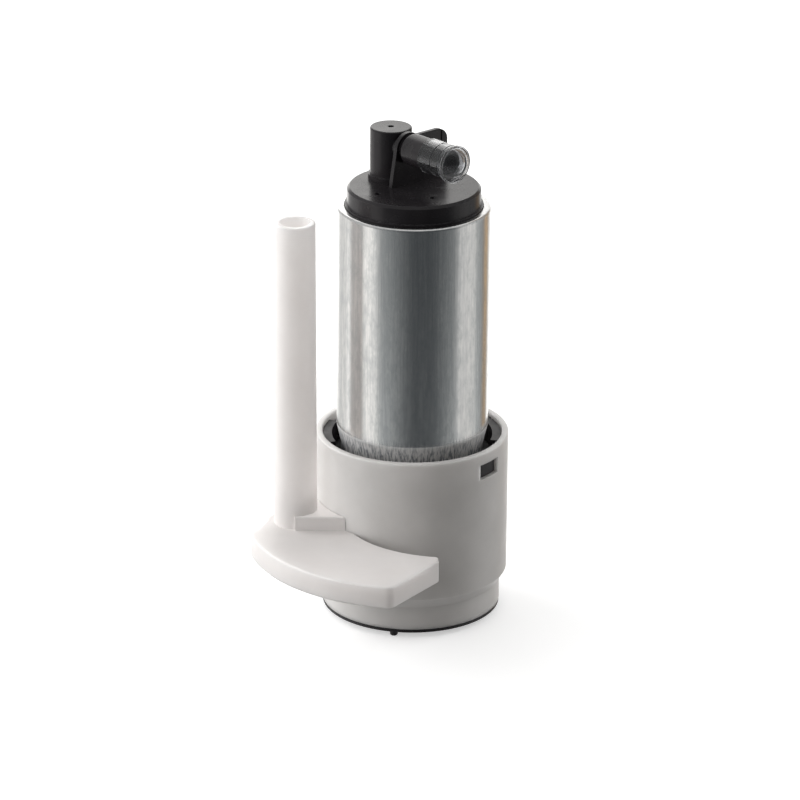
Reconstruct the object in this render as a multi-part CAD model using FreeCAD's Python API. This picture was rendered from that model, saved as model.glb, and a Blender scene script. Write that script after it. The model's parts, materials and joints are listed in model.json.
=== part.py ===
import FreeCAD, Part
import math
import os

from FreeCAD import Vector

# An in-tank electric fuel pump, standing in its plastic cup with a feed riser beside it.
# Millimetres. Z runs up the pump's axis, and the origin is on that axis at the cup's lower face.
# The front is -Y. The pump's own frame is turned about Z by CLOCK_DEG, so that its +X is the outlet's
# direction. Places marked "pump frame" are given before that turn.

# Fits and gaps
SEAT_FIT = 0.02
RUN_FIT = 0.04
WELD_GAP = 0.05
SLEEVE_FIT = 0.15
GUIDE_FIT = 0.06

# Motor can
CAN_R = 21.5
CAN_WALL = 1.0
CAN_NECK_STEP = 1.3
CAN_NECK_Z = 53.5
CAN_NECK_H = 5.8
CAN_LIP = 2.0
CAN_FOOT_LIP = 3.0
CAN_ROLL = 0.8

# Holder sleeve and damper
SLEEVE_GAP = 1.3
SLEEVE_WALL = 2.5
SLEEVE_SHELF_T = 2.0
SLEEVE_SHELF_W = 5.0
EAR_BELOW_RIM = 1.2
SLEEVE_BELOW_RIM = 6.3
EAR_ARCS = ((76.0, 125.0), (249.0, 289.0))
FINGER_BELOW_RIM = 2.6
FINGER_MARGIN_DEG = 3.0
DAMPER_FLOOR_T = 2.0
DAMPER_COLLAR_H = 8.0
TAB_PROUD = 1.1
TAB_FIT = 0.35

# Cup
CUP_H = 51.3
CUP_WALL = 1.9
CUP_EDGE_ROUND = 0.45
SPIGOT_INSET = 1.95
SPIGOT_H = 6.8
SPIGOT_WALL = 1.9
STEP_H = 2.5
STEP_ROUND_INSET = 0.45
STEP_TOP_H = 0.7
SKIRT_H = 2.2
SKIRT_WALL = 3.8
FLOOR_T = 2.2
WINDOW_AZ = 53.4
WINDOW_HALF_DEG = 8.8
WINDOW_H = 4.6
WINDOW_BELOW_RIM = 3.4

# Base strainer under the cup
BASE_T = 1.0
BASE_FIT = 0.1
BASE_RING_W = 3.8
SPOKE_W = 1.6
SPOKE_COUNT = 6
MESH_T = 0.3
MESH_REBATE = 1.2
MESH_PITCH = 2.5
MESH_GAP = 1.5
MESH_MARGIN = 1.2
NUB_R = 1.15
NUB_H = 1.5
NUB_COUNT = 3
NUB_AZ = -11.5
NUB_EDGE = 1.4

# Foot valve
FOOT_DISC_R = 8.0
FOOT_DISC_T = 0.9
FOOT_STEM_R = 1.5
FOOT_BULB_R = 2.2
FOOT_BULB_T = 0.8
FOOT_LIFT = 1.1
FOOT_PORT_R = 1.4
FOOT_PORT_COUNT = 6
FOOT_PORT_PITCH_R = 5.2

# Riser: the tube, and the curved plate with its block and port
TUBE_OUT = 5.45
TUBE_Y = -13.3
TUBE_TOP_Z = 117.6
TUBE_TOP_R = 5.65
TUBE_FOOT_R = 6.15
TUBE_BORE_R = 4.35
TUBE_LIP_ROUND = 0.35
TUBE_PLUG_R = 5.4
BLOCK_HALF_W = 6.7
BLOCK_H = 4.0
BLOCK_ROUND = 0.6
PLATE_Z = 21.5
PLATE_T = 6.5
PLATE_ROUND = 1.0
PLATE_EDGE_ROUND = 0.5
PORT_ABOVE_PLATE = 4.5
PORT_R = 2.95
PORT_SPIGOT_WALL = 1.0
PORT_SPIGOT_PROUD = 0.8
POT_R = 48.0
POT_X = 1.5
POT_Y = -12.0
POT_LEFT_AZ = -77.5
PLATE_CORNER_R = 3.0
PLATE_TIP_FRONT = (-5.45, -59.4)
PLATE_TIP_RIGHT = (7.6, -41.0)
PLATE_TIP_INNER = (7.4, -37.8)
PLATE_INNER_MID = (-6.4, -32.7)
PLATE_INNER_END = (-16.7, -20.7)
PLATE_BACK_R = 8.2

# Intake strainer in the sump
POUCH_GAP = 2.1
POUCH_T = 5.5
POUCH_INSET = 5.5
POUCH_ROUND = 2.4
COLLAR_H = 12.0
COLLAR_WALL = 1.6
COLLAR_FOOT_R = 8.2
COLLAR_FOOT_T = 1.5
NIPPLE_ABOVE_POUCH = 6.0

# Pump section
INLET_PLATE_T = 5.0
NIPPLE_INSET = 4.5
NIPPLE_R = 4.8
NIPPLE_BORE_R = 3.2
HOUSING_WALL = 5.2
IMPELLER_T = 3.9
IMPELLER_END_GAP = 0.05
IMPELLER_TIP_GAP = 0.08
VANE_COUNT = 24
VANE_W = 1.6
VANE_DEPTH = 2.2
CHANNEL_DEPTH = 1.4
CHANNEL_SWEEP_DEG = 320.0
OUTLET_INSET_DEG = 8.0
HOUSING_T = 4.0
HOUSING_BOSS_H = 3.0
HOUSING_BOSS_R = 7.0
SHELF_GAP = 2.05
THRUST_PIN_R = 1.6
THRUST_PIN_L = 2.4

# Motor
SHAFT_R = 2.0
BUSH_WALL = 2.0
BUSH_L = 5.0
SHAFT_TAIL = 0.8
THRUST_GAP = 0.05
HEAD_GAP = 2.5
HEAD_H = 6.5
HEAD_INSET = 1.3
HEAD_TAPER = 0.8
STACK_L = 30.0
SLOT_COUNT = 8
SLOT_W = 3.4
SLOT_MOUTH_W = 1.2
SLOT_LIP = 1.3
CORE_R = 6.2
AIR_GAP = 0.7
MAGNET_T = 4.2
FLUX_RING_T = 1.7
MAGNET_SWEEP_DEG = 138.0
MAGNET_OVER = 4.0
FLUX_RING_OVER = 2.0
CLIP_T = 0.6
CLIP_W = 6.0
COMMUTATOR_HUB = 2.5
COMMUTATOR_T = 5.0
COMMUTATOR_SLIT = 0.5
COMMUTATOR_SLIT_DEPTH = 2.5

# Brushes
BRUSH_INSET = 3.0
BRUSH_OFF_MIDDLE = 0.2
BRUSH_W = 4.4
BRUSH_D = 5.0
BRUSH_REACH = 1.0
BRUSH_TOP = 2.5
BRUSH_TRAVEL = 3.0
BRUSH_SPRING_SPACE = 7.0
BRUSH_SPRING_R = 1.6
BRUSH_WIRE_R = 0.25
BRUSH_LEAD_R = 0.5
BRUSH_CHAMFER = 0.3
HOLDER_T = 5.0
HOLDER_PORT_R = 2.4

# Outlet cover
CLOCK_DEG = -48.0
FLANGE_T = 5.4
COVER_CAN_FIT = 0.1
COVER_LIP_GAP = 0.15
COVER_LIP_H = 1.6
DRUM_INSET = 0.5
DRUM_TOP_INSET = 0.65
DECK_ABOVE_FLANGE = 6.6
DRUM_BEVEL = 0.7
SEAL_WIRE_R = 0.75
SEAL_GROOVE_H = 1.9
POST_FROM_EDGE = 8.2
POST_R = 5.9
POST_H = 14.9
POST_FOOT_R = 6.4
POST_FOOT_H = 1.4
POST_EDGE_ROUND = 0.5
POST_PLUG_R = 4.8
POST_PLUG_H = 3.0
DIMPLE_R = 0.9
DIMPLE_DEPTH = 0.6
VENT_R = 0.8
VENT_DEPTH = 1.8
VENT_X = -1.3
VENT_FROM_EDGE = 5.6
RIB_T = 1.2
RIB_AT = 6.3
RIB_FOOT_HALF_W = 6.3

# Outlet arm and spigot, distances from the post's axis
NECK_R = 3.6
ARM_R = 4.5
ARM_START = 8.8
ARM_END = 16.4
SPIGOT_OUT_R = 4.0
SPIGOT_OUT_END = 24.5
OUTLET_BORE_R = 2.4
SPIGOT_TIP_CHAMFER = 0.4

# Dust cap on the outlet spigot
CAP_WALL = 0.85
CAP_SEAT_GAP = 0.05
CAP_TIP_GAP = 0.5
CAP_GROOVE = 0.2
CAP_GROOVE_W = 0.5
CAP_GROOVES_AT = (5.1, 8.1)
CAP_FLANGE_R = 5.3
CAP_FLANGE_AT = 9.5
CAP_FLANGE_T = 0.9
CAP_DOME_H = 2.3
CAP_DOME_WALL = 0.9

# Connector socket
SOCKET_NEAR = 4.3
SOCKET_FAR = 3.5
SOCKET_TOP = 12.1
SOCKET_FLAT = 1.6
SOCKET_EDGE = 0.5
SOCKET_SLOPE_DEG = 33.0
SOCKET_FROM_EDGE = 0.6
SOCKET_CORNER = 3.4
SOCKET_WALL = 1.3
SOCKET_BACK = 8.6
SOCKET_GROOVE_FROM_END = 2.6
SOCKET_GROOVE_W = 0.6
SOCKET_GROOVE = 0.3
TERMINAL_MIDDLE = 0.4
TERMINAL_PITCH = 3.0
TERMINAL_T = 0.8
TERMINAL_W = 2.4
TERMINAL_Z = 4.6
TERMINAL_TIP_INSET = 2.0
TERMINAL_LEG_INSET = 10.2
STRIP_T = 0.8
STRIP_W = 1.4
CHOKE_R = 1.6
CHOKE_L = 6.0
CHOKE_INSET = 7.3
STRIP_BEND = 2.0
STRIP_SIDESTEP = 1.5

# Check valve in the post
CHECK_SEAT_R = 4.0
CHECK_SEAT_H = 5.0
CHECK_SEAT_BORE_R = 2.0
CHECK_BORE_R = 3.6
CHECK_DISC_T = 1.6
CHECK_STEM_R = 1.9
CHECK_STEM_H = 3.0
CHECK_SPRING_SPACE = 9.4
CHECK_SPRING_R = 2.9
CHECK_WIRE_R = 0.3
CHECK_LIFT = 3.0
CHECK_NOTCH_COUNT = 4
CHECK_NOTCH_W = 1.6
CHECK_NOTCH_FROM = 2.7
CHECK_UPPER_BORE_R = 2.4
POST_ROOF = 1.9

# Relief valve under the deck
RELIEF_INSET = 9.4
RELIEF_Y = -3.2
RELIEF_SEAT_R = 3.0
RELIEF_SEAT_H = 3.2
RELIEF_SEAT_BORE_R = 1.2
RELIEF_BALL_R = 2.2
RELIEF_BALL_GAP = 0.03
RELIEF_LIFT = 1.5
RELIEF_SPRING_R = 1.7
RELIEF_WIRE_R = 0.25
RELIEF_ROOF = 1.2
RELIEF_TURNS = 3

SPRING_TURNS = 6

# Radii worked out from the can outwards
can_bore_r = CAN_R - CAN_WALL
neck_r = CAN_R - CAN_NECK_STEP
neck_bore_r = neck_r - CAN_WALL
sleeve_bore_r = CAN_R + SLEEVE_GAP
sleeve_r = sleeve_bore_r + SLEEVE_WALL
cup_bore_r = sleeve_r + SLEEVE_FIT
cup_r = cup_bore_r + CUP_WALL
spigot_r = cup_r - SPIGOT_INSET
spigot_bore_r = spigot_r - SPIGOT_WALL
shelf_bore_r = neck_r - SLEEVE_SHELF_W
pouch_r = spigot_bore_r - POUCH_INSET
tube_x = -cup_r - TUBE_OUT

# Radii and places worked out from the can inwards
impeller_r = neck_bore_r - HOUSING_WALL
nipple_y = NIPPLE_INSET - impeller_r
magnet_r = can_bore_r - FLUX_RING_T
magnet_bore_r = magnet_r - MAGNET_T
stack_r = magnet_bore_r - AIR_GAP
head_r = stack_r - HEAD_INSET
choke_out = can_bore_r - CHOKE_INSET
bush_r = SHAFT_R + BUSH_WALL
brush_offset = (bush_r + choke_out - CHOKE_R) / 2 + BRUSH_OFF_MIDDLE
commutator_r = brush_offset + BRUSH_INSET
relief_x = can_bore_r - RELIEF_INSET
lip_r = CAN_R - CAN_LIP - COVER_LIP_GAP
drum_top_r = lip_r - DRUM_TOP_INSET
deck_r = drum_top_r - DRUM_BEVEL
post_offset = deck_r - POST_FROM_EDGE
vent_y = VENT_FROM_EDGE - deck_r
socket_end = deck_r - SOCKET_FROM_EDGE
terminal_tip = socket_end - TERMINAL_TIP_INSET
terminal_leg = socket_end - TERMINAL_LEG_INSET

# Heights worked out from the cup's lower face upwards
floor_top = SKIRT_H + FLOOR_T
pouch_z = floor_top + FOOT_DISC_T + FOOT_LIFT + POUCH_GAP
pouch_top = pouch_z + POUCH_T
port_z = PLATE_Z + PORT_ABOVE_PLATE
port_spigot_r = PORT_R + PORT_SPIGOT_WALL
shelf_z = port_z + port_spigot_r + SHELF_GAP
shelf_top = shelf_z + SLEEVE_SHELF_T
can_foot_z = shelf_top + DAMPER_FLOOR_T
inlet_z = can_foot_z + CAN_WALL
chamber_z = inlet_z + INLET_PLATE_T
chamber_h = IMPELLER_T + 2 * IMPELLER_END_GAP
housing_z = chamber_z + chamber_h
housing_top = housing_z + HOUSING_T
boss_top = housing_top + HOUSING_BOSS_H
head_z = boss_top + HEAD_GAP
stack_z = head_z + HEAD_H
stack_top = stack_z + STACK_L
head_top = stack_top + HEAD_H
commutator_z = head_top + COMMUTATOR_HUB
commutator_top = commutator_z + COMMUTATOR_T
holder_z = commutator_top + BRUSH_REACH
holder_top = holder_z + HOLDER_T
flange_top = holder_top + FLANGE_T
can_top = flange_top + CAN_WALL
deck_z = flange_top + DECK_ABOVE_FLANGE
post_top = deck_z + POST_H
outlet_z = post_top - ARM_R
brush_top = holder_top + BRUSH_TOP
brush_well_top = brush_top + BRUSH_SPRING_SPACE
check_seat_top = holder_top + CHECK_SEAT_H
check_disc_top = check_seat_top + CHECK_DISC_T
check_shoulder = check_disc_top + CHECK_SPRING_SPACE
relief_seat_top = holder_top + RELIEF_SEAT_H
relief_well_top = deck_z - RELIEF_ROOF
socket_top = deck_z + SOCKET_TOP
window_top = CUP_H - WINDOW_BELOW_RIM
window_z = window_top - WINDOW_H
plate_top = PLATE_Z + PLATE_T
block_top = plate_top + BLOCK_H

UP = Vector(0, 0, 1)
ORIGIN = Vector(0, 0, 0)
CUT_OVER = 1.0
EDGE_FIND = 0.01


def rod(radius, low, high, x=0.0, y=0.0):
    """A round bar along Z."""
    return Part.makeCylinder(radius, high - low, Vector(x, y, low), UP)


def ring(inner, outer, low, high, x=0.0, y=0.0):
    """A plain ring round Z."""
    return rod(outer, low, high, x, y).cut(rod(inner, low, high, x, y))


def brick(x0, x1, y0, y1, z0, z1):
    """A box between two corners."""
    return Part.makeBox(x1 - x0, y1 - y0, z1 - z0, Vector(x0, y0, z0))


def turned(points):
    """A solid of revolution round Z from a closed outline of (radius, height) points."""
    corners = [Vector(r, 0, z) for r, z in points]
    wire = Part.makePolygon(corners + corners[:1])
    return Part.Face(wire).revolve(ORIGIN, UP, 360)


def compass(azimuth, radius, z=0.0):
    """A point at an azimuth in degrees, counted from the front towards +X."""
    angle = math.radians(azimuth)
    return Vector(radius * math.sin(angle), -radius * math.cos(angle), z)


def sector(inner, outer, low, high, start, end):
    """A slice of a ring between two azimuths."""
    base = Part.makeCylinder(outer, high - low, Vector(0, 0, low), UP, end - start)
    base.rotate(ORIGIN, UP, start - 90)
    return base.cut(rod(inner, low, high))


def clocked(shape):
    """Turns a shape from the pump frame into the part's frame."""
    shape.rotate(ORIGIN, UP, CLOCK_DEG)
    return shape


def outward(shape, z):
    """Lays a shape built along Z down along the outlet, in the pump frame."""
    shape.rotate(ORIGIN, Vector(0, 1, 0), 90)
    shape.translate(Vector(-post_offset, 0, z))
    return shape


def rounded(shape, radius, wanted):
    """Rounds the edges whose middle point the test accepts."""
    edges = []
    for edge in shape.Edges:
        middle = edge.valueAt((edge.FirstParameter + edge.LastParameter) / 2)
        if wanted(middle, edge):
            edges.append(edge)
    return shape.makeFillet(radius, edges)


def near(value, target):
    return abs(value - target) < EDGE_FIND


def is_flat(edge):
    """True for an edge that lies in a level plane."""
    return near(edge.BoundBox.ZLength, 0)


def arc_between(start, tangent, end):
    """The arc from start to end that leaves along tangent."""
    chord = end - start
    along = Vector(chord).normalize()
    side = tangent - along * tangent.dot(along)
    turn = math.acos(max(-1.0, min(1.0, tangent.dot(along))))
    middle = (start + end) * 0.5 + side.normalize() * (chord.Length / 2 * math.tan(turn / 2))
    return Part.Arc(start, middle, end).toShape()


def biarc(start, leave, end, arrive):
    """Two tangent arcs that join two points with given directions."""
    span = end - start
    total = leave + arrive
    spread = 2 * (1 - leave.dot(arrive))
    reach = span.dot(total)
    step = (math.sqrt(reach * reach + spread * span.dot(span)) - reach) / spread
    joint = (start + leave * step + end - arrive * step) * 0.5
    at_joint = (end - arrive * step - start - leave * step).normalize()
    return [arc_between(start, leave, joint), arc_between(joint, at_joint, end)]


def spring(radius, wire_r, low, high, x, y, travel, turns=SPRING_TURNS):
    """A coil spring on biarcs of a quarter turn, its wire's centre kept inside both ends."""
    first = low + wire_r + SEAT_FIT
    last = high - wire_r - SEAT_FIT
    count = turns * 4
    rise = (last - first) / (2 * math.pi * turns)
    length = math.hypot(radius, rise)

    def place(quarter):
        angle = quarter * math.pi / 2
        return Vector(x + radius * math.cos(angle), y + radius * math.sin(angle), first + rise * angle)

    def heading(quarter):
        angle = quarter * math.pi / 2
        return Vector(-radius * math.sin(angle), radius * math.cos(angle), rise) * (1 / length)

    edges = []
    for quarter in range(count):
        edges += biarc(place(quarter), heading(quarter), place(quarter + 1), heading(quarter + 1))
    section = Part.Wire([Part.Circle(place(0), heading(0), wire_r).toShape()])
    gap = (last - first) / turns - 2 * wire_r
    left = (last - first - travel) / turns - 2 * wire_r
    print("spring gap between turns, mm: at rest", round(gap, 2), "at full travel", round(left, 2))
    return Part.Wire(edges).makePipeShell([section], True, False)


# The cup that the pump stands in
def make_cup():
    step_z = SPIGOT_H + STEP_H
    body = turned([
        (0, SKIRT_H), (spigot_r - SKIRT_WALL, SKIRT_H), (spigot_r - SKIRT_WALL, 0), (spigot_r, 0),
        (spigot_r, SPIGOT_H), (cup_r - STEP_ROUND_INSET, step_z), (cup_r, step_z + STEP_TOP_H),
        (cup_r, CUP_H), (cup_bore_r, CUP_H), (cup_bore_r, step_z + STEP_TOP_H), (spigot_bore_r, SPIGOT_H),
        (spigot_bore_r, floor_top), (0, floor_top)])
    body = rounded(body, CUP_EDGE_ROUND, lambda p, e: near(p.z, CUP_H))
    for turn in (0, 180):
        low = WINDOW_AZ + turn - WINDOW_HALF_DEG
        high = WINDOW_AZ + turn + WINDOW_HALF_DEG
        body = body.cut(sector(cup_bore_r - CUT_OVER, cup_r + CUT_OVER, window_z, window_top, low, high))
    hole = Part.makeCylinder(port_spigot_r + WELD_GAP, cup_r, Vector(-cup_r - CUT_OVER, TUBE_Y, port_z),
                             Vector(1, 0, 0))
    body = body.cut(hole)
    body = body.cut(rod(FOOT_STEM_R + GUIDE_FIT, 0, floor_top + CUT_OVER))
    for index in range(FOOT_PORT_COUNT):
        spot = compass(index * 360 / FOOT_PORT_COUNT, FOOT_PORT_PITCH_R)
        body = body.cut(rod(FOOT_PORT_R, 0, floor_top + CUT_OVER, spot.x, spot.y))
    return body


# The riser: a curved cover plate with a block and a port into the cup, and the tube that stands in it
def plate_outline():
    """The plate seen from above, as one closed wire."""
    left = Vector(POT_X, POT_Y, 0) + compass(POT_LEFT_AZ, POT_R)
    front = Vector(PLATE_TIP_FRONT[0], PLATE_TIP_FRONT[1], 0)
    right = Vector(PLATE_TIP_RIGHT[0], PLATE_TIP_RIGHT[1], 0)
    inner = Vector(PLATE_TIP_INNER[0], PLATE_TIP_INNER[1], 0)
    middle = Vector(PLATE_INNER_MID[0], PLATE_INNER_MID[1], 0)
    at_cup = Vector(PLATE_INNER_END[0], PLATE_INNER_END[1], 0)
    outer_mid_az = (POT_LEFT_AZ + math.degrees(math.atan2(front.x - POT_X, POT_Y - front.y))) / 2
    outer_mid = Vector(POT_X, POT_Y, 0) + compass(outer_mid_az, POT_R)
    tube = Vector(tube_x, TUBE_Y, 0)
    west = tube + Vector(-PLATE_BACK_R, 0, 0)
    north_west = tube + Vector(-1, 1, 0) * (PLATE_BACK_R / math.sqrt(2))
    north = tube + Vector(0, PLATE_BACK_R, 0)
    behind = Vector(0, north.y, 0)
    axis = Vector(0, at_cup.y, 0)
    return Part.Wire([
        Part.Arc(left, outer_mid, front).toShape(),
        Part.LineSegment(front, right).toShape(),
        Part.LineSegment(right, inner).toShape(),
        Part.Arc(inner, middle, at_cup).toShape(),
        Part.LineSegment(at_cup, axis).toShape(),
        Part.LineSegment(axis, behind).toShape(),
        Part.LineSegment(behind, north).toShape(),
        Part.Arc(north, north_west, west).toShape(),
        Part.LineSegment(west, left).toShape()])


def riser_cone(fit):
    """The tube's outside, grown by a fit where the block is cut with it."""
    return Part.makeCone(TUBE_FOOT_R + fit, TUBE_TOP_R + fit, TUBE_TOP_Z - plate_top,
                         Vector(tube_x, TUBE_Y, plate_top), UP)


def port_bar(radius, end_x):
    """A bar along the port, from the tube's axis towards the cup."""
    return Part.makeCylinder(radius, end_x - tube_x, Vector(tube_x, TUBE_Y, port_z), Vector(1, 0, 0))


def make_riser_flange():
    plate = Part.Face(plate_outline()).extrude(Vector(0, 0, PLATE_T))
    plate.translate(Vector(0, 0, PLATE_Z))
    left = Vector(POT_X, POT_Y, 0) + compass(POT_LEFT_AZ, POT_R)
    corners = [(left.x, left.y, PLATE_CORNER_R), PLATE_TIP_FRONT + (PLATE_CORNER_R,),
               PLATE_TIP_RIGHT + (PLATE_ROUND,), PLATE_TIP_INNER + (PLATE_ROUND,)]
    for x, y, radius in corners:
        plate = rounded(plate, radius, lambda p, e: math.hypot(p.x - x, p.y - y) < EDGE_FIND
                        and near(p.z, PLATE_Z + PLATE_T / 2))
    wall = rod(cup_r + WELD_GAP, PLATE_Z - CUT_OVER, block_top + CUT_OVER)
    plate = plate.cut(wall)
    outside = cup_r + 3 * CUT_OVER
    plate = rounded(plate, PLATE_EDGE_ROUND, lambda p, e: math.hypot(p.x, p.y) > outside and is_flat(e))
    block = brick(tube_x, 0, TUBE_Y - BLOCK_HALF_W, TUBE_Y + BLOCK_HALF_W,
                  PLATE_Z + PLATE_EDGE_ROUND, block_top)
    block = block.cut(wall)
    block = rounded(block, BLOCK_ROUND, lambda p, e: near(p.z, block_top) and e.BoundBox.XLength > CUT_OVER
                    and near(e.BoundBox.YLength, 0))
    spigot_end = -math.sqrt(cup_bore_r ** 2 - TUBE_Y ** 2) + PORT_SPIGOT_PROUD
    body = plate.fuse([block, port_bar(port_spigot_r, spigot_end)])
    seat = rod(TUBE_PLUG_R + SEAT_FIT, port_z - PORT_R - SEAT_FIT, block_top + CUT_OVER, tube_x, TUBE_Y)
    return body.cut([riser_cone(SEAT_FIT), seat, port_bar(PORT_R, 0)]).removeSplitter()


def make_riser_tube():
    """The tube, its foot narrowed to a plug that is notched over the port."""
    low = port_z - PORT_R
    body = rounded(riser_cone(0), TUBE_LIP_ROUND, lambda p, e: near(p.z, TUBE_TOP_Z))
    body = body.fuse(rod(TUBE_PLUG_R, low, plate_top + CUT_OVER, tube_x, TUBE_Y))
    body = body.cut(rod(TUBE_BORE_R, low - CUT_OVER, TUBE_TOP_Z + CUT_OVER, tube_x, TUBE_Y))
    notch = brick(tube_x, 0, TUBE_Y - PORT_R, TUBE_Y + PORT_R, low - CUT_OVER, port_z)
    return body.cut(notch.fuse(port_bar(PORT_R, 0))).removeSplitter()


# The black sleeve that carries the pump inside the cup
def make_holder_sleeve():
    top = CUP_H - SLEEVE_BELOW_RIM
    body = ring(sleeve_bore_r, sleeve_r, shelf_z, top)
    body = body.fuse(ring(shelf_bore_r, sleeve_r, shelf_z, shelf_top))
    pieces = [sector(sleeve_bore_r, sleeve_r, shelf_top, CUP_H - EAR_BELOW_RIM, start, end)
              for start, end in EAR_ARCS]
    for turn in (0, 180):
        middle = WINDOW_AZ + turn
        reach = WINDOW_HALF_DEG + FINGER_MARGIN_DEG
        pieces.append(sector(sleeve_bore_r, sleeve_r, shelf_top, CUP_H - FINGER_BELOW_RIM,
                             middle - reach, middle + reach))
        fit_deg = math.degrees(TAB_FIT / sleeve_r)
        half = WINDOW_HALF_DEG - fit_deg
        pieces.append(sector(sleeve_bore_r, sleeve_r + TAB_PROUD, window_z + TAB_FIT, window_top - TAB_FIT,
                             middle - half, middle + half))
    return body.fuse(pieces).removeSplitter()


def make_damper():
    """The rubber ring that the can's foot stands in."""
    bore = neck_r + SEAT_FIT
    return turned([
        (shelf_bore_r, shelf_top), (sleeve_bore_r - SEAT_FIT, shelf_top),
        (sleeve_bore_r - SEAT_FIT, can_foot_z + DAMPER_COLLAR_H), (bore, can_foot_z + DAMPER_COLLAR_H),
        (bore, can_foot_z), (shelf_bore_r, can_foot_z)])


# The base strainer: a black ring with spokes and three nubs, and the net that it holds
def make_base_frame():
    outer = spigot_r - BASE_FIT
    inner = outer - BASE_RING_W
    rebate_z = -BASE_T / 2
    body = ring(inner, outer, -BASE_T, 0)
    body = body.cut(rod(inner + MESH_REBATE, rebate_z, CUT_OVER))
    for index in range(SPOKE_COUNT // 2):
        bar = brick(-inner - MESH_REBATE / 2, inner + MESH_REBATE / 2, -SPOKE_W / 2, SPOKE_W / 2,
                    -BASE_T, rebate_z)
        bar.rotate(ORIGIN, UP, index * 360 / SPOKE_COUNT)
        body = body.fuse(bar)
    for index in range(NUB_COUNT):
        spot = compass(NUB_AZ + index * 360 / NUB_COUNT, outer - NUB_EDGE)
        nub = rod(NUB_R, -BASE_T - NUB_H, -BASE_T / 2, spot.x, spot.y)
        nub = rounded(nub, NUB_R / 2, lambda p, e: near(p.z, -BASE_T - NUB_H))
        body = body.fuse(nub)
    return body.removeSplitter()


def make_base_mesh():
    radius = spigot_r - BASE_FIT - BASE_RING_W + MESH_REBATE - GUIDE_FIT
    outline = Part.Wire([Part.Circle(ORIGIN, UP, radius).toShape()])
    holes = []
    steps = int(radius / MESH_PITCH) + 1
    for column in range(-steps, steps + 1):
        for row in range(-steps, steps + 1):
            x = column * MESH_PITCH
            y = row * MESH_PITCH
            if math.hypot(abs(x) + MESH_GAP / 2, abs(y) + MESH_GAP / 2) > radius - MESH_MARGIN:
                continue
            half = MESH_GAP / 2
            square = [Vector(x - half, y - half, 0), Vector(x - half, y + half, 0),
                      Vector(x + half, y + half, 0), Vector(x + half, y - half, 0),
                      Vector(x - half, y - half, 0)]
            holes.append(Part.makePolygon(square))
    print("holes in the base net:", len(holes))
    net = Part.Face([outline] + holes).extrude(Vector(0, 0, MESH_T))
    net.translate(Vector(0, 0, -BASE_T / 2))
    return net


def make_foot_valve():
    """A rubber disc on the cup's floor, with a stem and a bulb that keep it there."""
    neck_top = floor_top
    bulb_top = SKIRT_H - FOOT_LIFT - GUIDE_FIT
    bulb_low = bulb_top - FOOT_BULB_T
    return turned([
        (0, bulb_low), (FOOT_BULB_R - FOOT_BULB_T / 2, bulb_low), (FOOT_BULB_R, bulb_top),
        (FOOT_STEM_R, bulb_top),
        (FOOT_STEM_R, neck_top), (FOOT_DISC_R, neck_top), (FOOT_DISC_R, neck_top + FOOT_DISC_T / 2),
        (FOOT_DISC_R / 3, neck_top + FOOT_DISC_T), (0, neck_top + FOOT_DISC_T)])


# The intake strainer in the sump
def make_intake_strainer():
    pouch = rod(pouch_r, pouch_z, pouch_top)
    pouch = pouch.makeFillet(POUCH_ROUND, [e for e in pouch.Edges if is_flat(e)])
    return pouch.cut(rod(NIPPLE_BORE_R, pouch_top - POUCH_T / 2, pouch_top + CUT_OVER, 0, nipple_y))


def make_strainer_collar():
    bore = NIPPLE_R + SEAT_FIT
    stop_z = pouch_top + NIPPLE_ABOVE_POUCH
    body = turned([
        (NIPPLE_BORE_R, pouch_top), (COLLAR_FOOT_R, pouch_top), (COLLAR_FOOT_R, pouch_top + COLLAR_FOOT_T),
        (bore + COLLAR_WALL, pouch_top + COLLAR_FOOT_T), (bore + COLLAR_WALL, pouch_top + COLLAR_H),
        (bore, pouch_top + COLLAR_H), (bore, stop_z), (NIPPLE_BORE_R, stop_z)])
    body.translate(Vector(0, nipple_y, 0))
    return body


# The motor can, necked at its foot and rolled in over the plates at both ends
def make_can():
    low_neck = CAN_NECK_Z - CAN_NECK_H
    outside = [
        (neck_r - CAN_FOOT_LIP, can_foot_z), (neck_r, can_foot_z), (neck_r, low_neck),
        (CAN_R, CAN_NECK_Z), (CAN_R, can_top), (CAN_R - CAN_LIP, can_top)]
    inside = [
        (CAN_R - CAN_LIP, flange_top), (can_bore_r, flange_top), (can_bore_r, CAN_NECK_Z),
        (neck_bore_r, low_neck),
        (neck_bore_r, inlet_z), (neck_r - CAN_FOOT_LIP, inlet_z)]
    body = turned(outside + inside)
    return rounded(body, CAN_ROLL, lambda p, e: (near(p.z, can_top) and near(e.Curve.Radius, CAN_R))
                   or (near(p.z, can_foot_z) and near(e.Curve.Radius, neck_r)))


# The pump section at the can's foot
def channel(low, high):
    """The side channel beside the vanes, open over most of the turn."""
    inner = impeller_r - VANE_DEPTH
    outer = impeller_r - IMPELLER_TIP_GAP
    return sector(inner, outer, low, high, 180 - CHANNEL_SWEEP_DEG / 2, 180 + CHANNEL_SWEEP_DEG / 2)


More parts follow.
